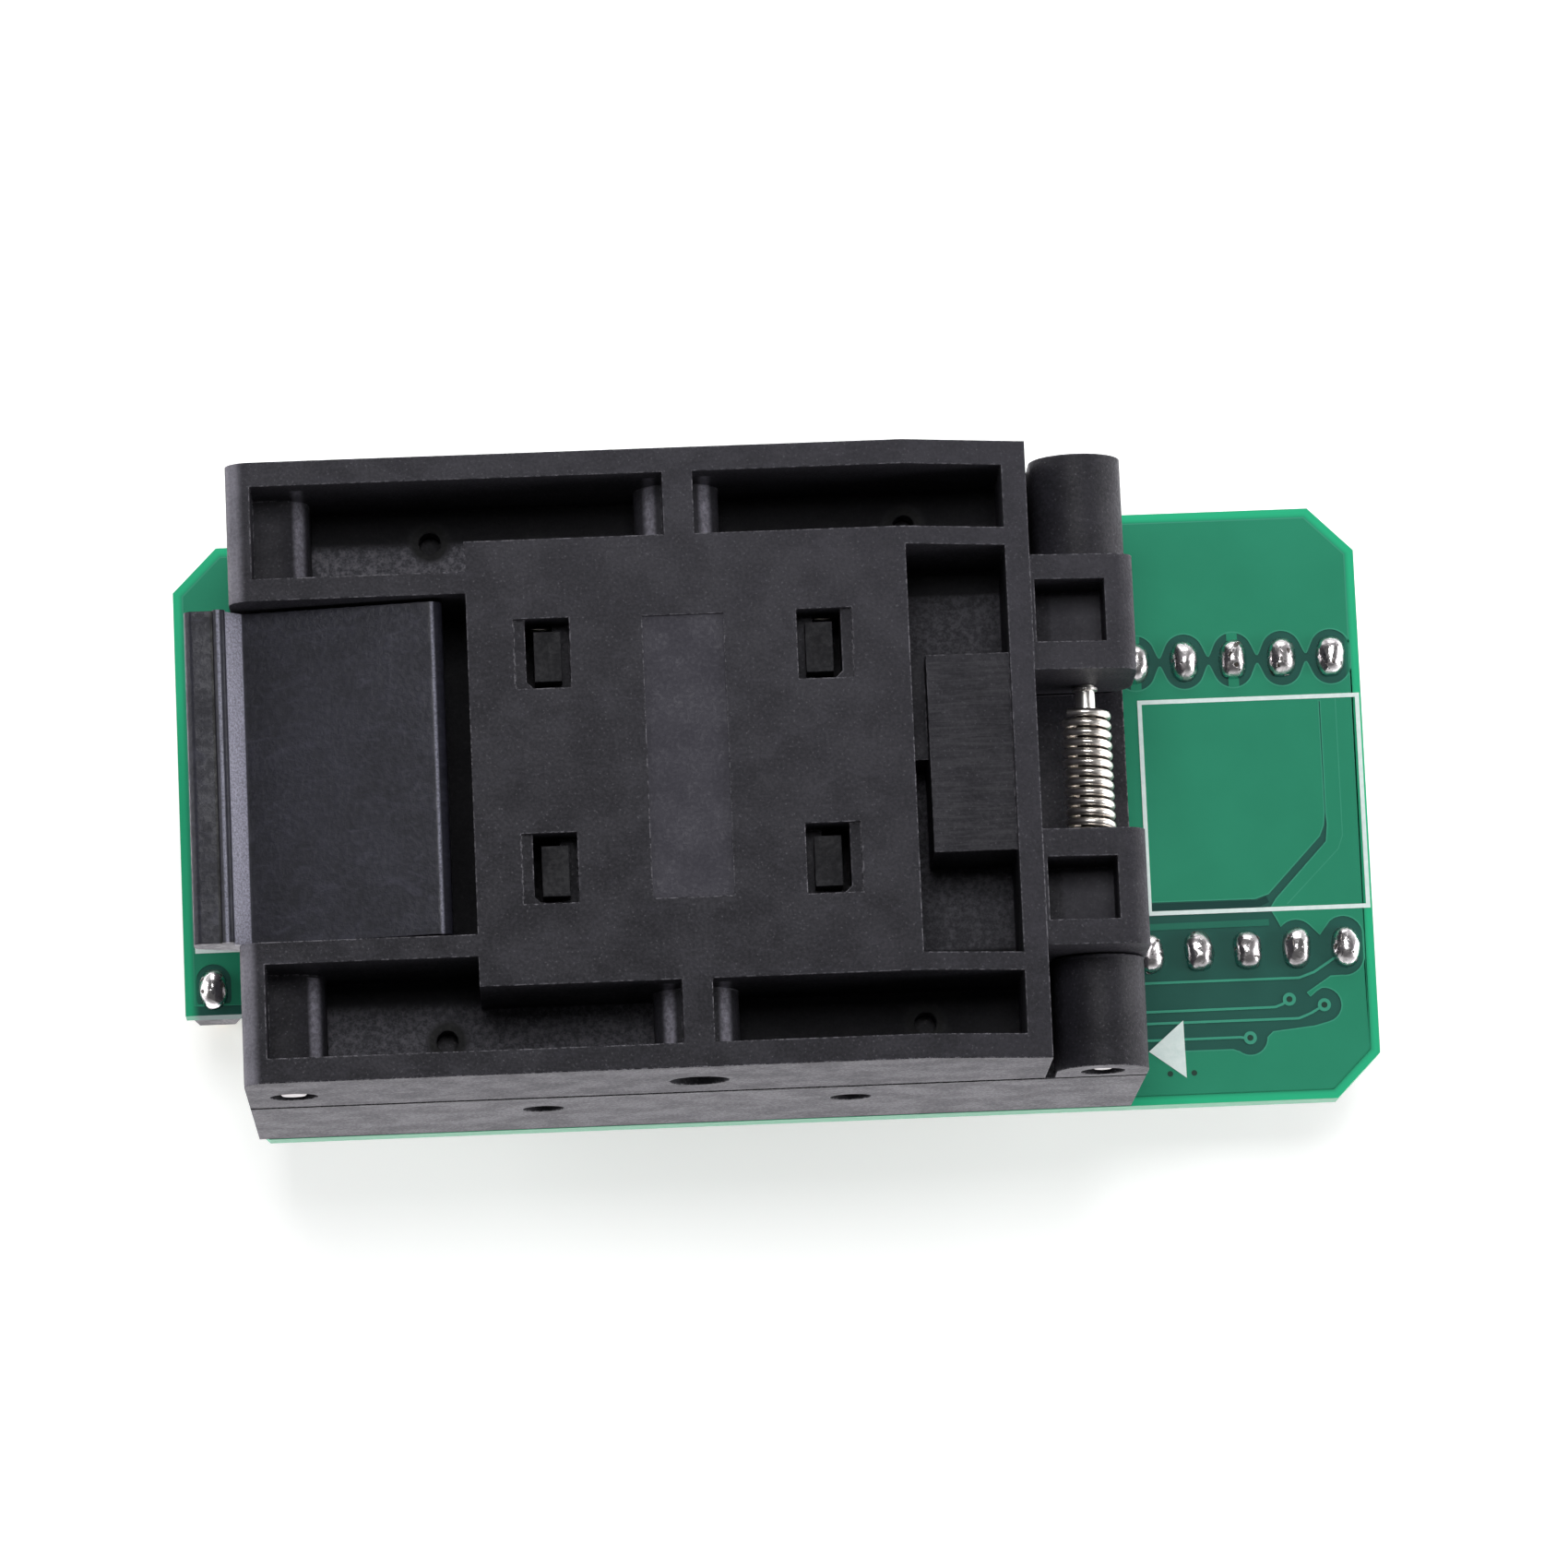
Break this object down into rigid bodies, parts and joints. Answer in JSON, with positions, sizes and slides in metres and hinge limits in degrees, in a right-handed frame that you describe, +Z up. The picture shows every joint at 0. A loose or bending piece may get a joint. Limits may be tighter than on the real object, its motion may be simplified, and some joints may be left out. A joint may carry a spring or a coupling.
{
  "type": "bga programmer adapter",
  "caption": "Clamshell chip test socket with a hinged, latched lid on a two-row pin adapter board that plugs into a chip programmer.",
  "frame": {"origin": "on the resting plane of the pin tips, under the middle of the circuit board", "axes": "+X along the board from the latch to the hinge, +Y across it, +Z up from the pin tips to the lid"},
  "size_m": [0.0614, 0.031, 0.0315],
  "materials": {
    "green_board": "satin solder mask",
    "strip_plastic": "matte",
    "plated_pins": "gold plated",
    "solder": "bright",
    "pin_steel": "ground",
    "spring_steel": "drawn wire",
    "moulded_black": "fine matte grain",
    "latch_plastic": "smooth satin",
    "guide_plastic": "matte"
  },
  "bodies": {
    "base": {"circuit_board": "green_board", "header_strip_north": "strip_plastic", "header_strip_south": "strip_plastic", "header_pins_north": "plated_pins", "header_pins_south": "plated_pins", "solder_joints": "solder", "socket_base": "moulded_black", "contact_block": "moulded_black", "guide_plate": "guide_plastic", "contact_tips": "plated_pins", "block_pin_west": "pin_steel", "block_pin_east": "pin_steel", "nest_springs": "spring_steel", "hinge_pin": "pin_steel", "hinge_spring": "spring_steel"},
    "lid": {"lid": "moulded_black", "latch_pin": "pin_steel", "latch_springs": "spring_steel", "pivot_pin": "pin_steel", "pressure_springs": "spring_steel"},
    "latch": {"latch": "latch_plastic"},
    "pressure_plate": {"pressure_plate": "guide_plastic"},
    "nest": {"nest": "guide_plastic"}
  },
  "joints": [
    {"name": "lid_hinge", "type": "hinge", "parent": "base", "child": "lid", "pos_m": [0.0154, 0, 0.02414], "axis": [0, 1, 0], "range_deg": [0, 105]},
    {"name": "latch_rock", "type": "hinge", "parent": "lid", "child": "latch", "pos_m": [-0.0248, 0, 0.02614], "axis": [0, 1, 0], "range_deg": [0, 8], "stiffness_Nm_per_rad": 0.03, "springref_deg": -2.86, "deforming": ["latch_springs"]},
    {"name": "plate_float", "type": "slide", "parent": "lid", "child": "pressure_plate", "axis": [0, 0, 1], "range_m": [0, 0.0006], "stiffness_N_per_m": 300, "springref_m": -0.001, "deforming": ["pressure_springs"]},
    {"name": "nest_float", "type": "slide", "parent": "base", "child": "nest", "axis": [0, 0, -1], "range_m": [0, 0.0004], "stiffness_N_per_m": 200, "springref_m": -0.001, "deforming": ["nest_springs"]}
  ]
}
